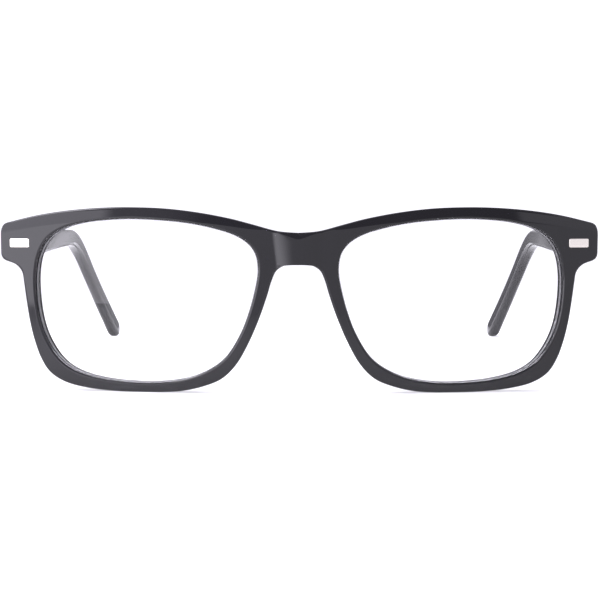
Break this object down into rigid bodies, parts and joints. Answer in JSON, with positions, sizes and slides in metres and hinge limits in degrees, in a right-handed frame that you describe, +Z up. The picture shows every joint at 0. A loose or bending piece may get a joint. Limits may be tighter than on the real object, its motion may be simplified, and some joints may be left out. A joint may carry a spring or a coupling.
{
  "type": "spectacle frame",
  "caption": "Full-rim rectangular acetate spectacle frame with clear demo lenses, small metal endpiece plaques and temples that fold inwards on barrel hinges.",
  "frame": {"origin": "under the middle of the whole frame with its temples open, on the surface that it stands on", "axes": "+Z up, the front faces -Y, the temples run back along +Y, +X is the wearer's left"},
  "size_m": [0.1498, 0.1464, 0.0437],
  "materials": {
    "front_acetate": "black cellulose acetate, tumble-polished",
    "temple_acetate": "black cellulose acetate, tumble-polished",
    "pad_acetate": "black cellulose acetate, polished and bonded on",
    "lens": "clear acrylic demo lens with an anti-reflection coat",
    "plaque": "polished nickel silver",
    "hinge": "nickel silver, barrel-polished",
    "screw": "turned stainless steel",
    "core_wire": "drawn nickel silver wire"
  },
  "bodies": {
    "front": {"front": "front_acetate", "lens_left": "lens", "lens_right": "lens", "plaque_left": "plaque", "plaque_right": "plaque", "nose_pad_left": "pad_acetate", "nose_pad_right": "pad_acetate", "front_hinge_leaf_left": "hinge", "front_hinge_leaf_right": "hinge", "hinge_screw_left": "screw", "hinge_screw_right": "screw"},
    "temple_left": {"temple_left": "temple_acetate", "core_wire_left": "core_wire", "temple_hinge_leaf_left": "hinge"},
    "temple_right": {"temple_right": "temple_acetate", "core_wire_right": "core_wire", "temple_hinge_leaf_right": "hinge"}
  },
  "joints": [
    {"name": "temple_left_hinge", "type": "hinge", "parent": "front", "child": "temple_left", "pos_m": [0.06491, -0.05944, 0.0354], "axis": [0, 0, 1], "range_deg": [0, 90]},
    {"name": "temple_right_hinge", "type": "hinge", "parent": "front", "child": "temple_right", "pos_m": [-0.06491, -0.05944, 0.0354], "axis": [0, 0, -1], "range_deg": [0, 76]}
  ]
}
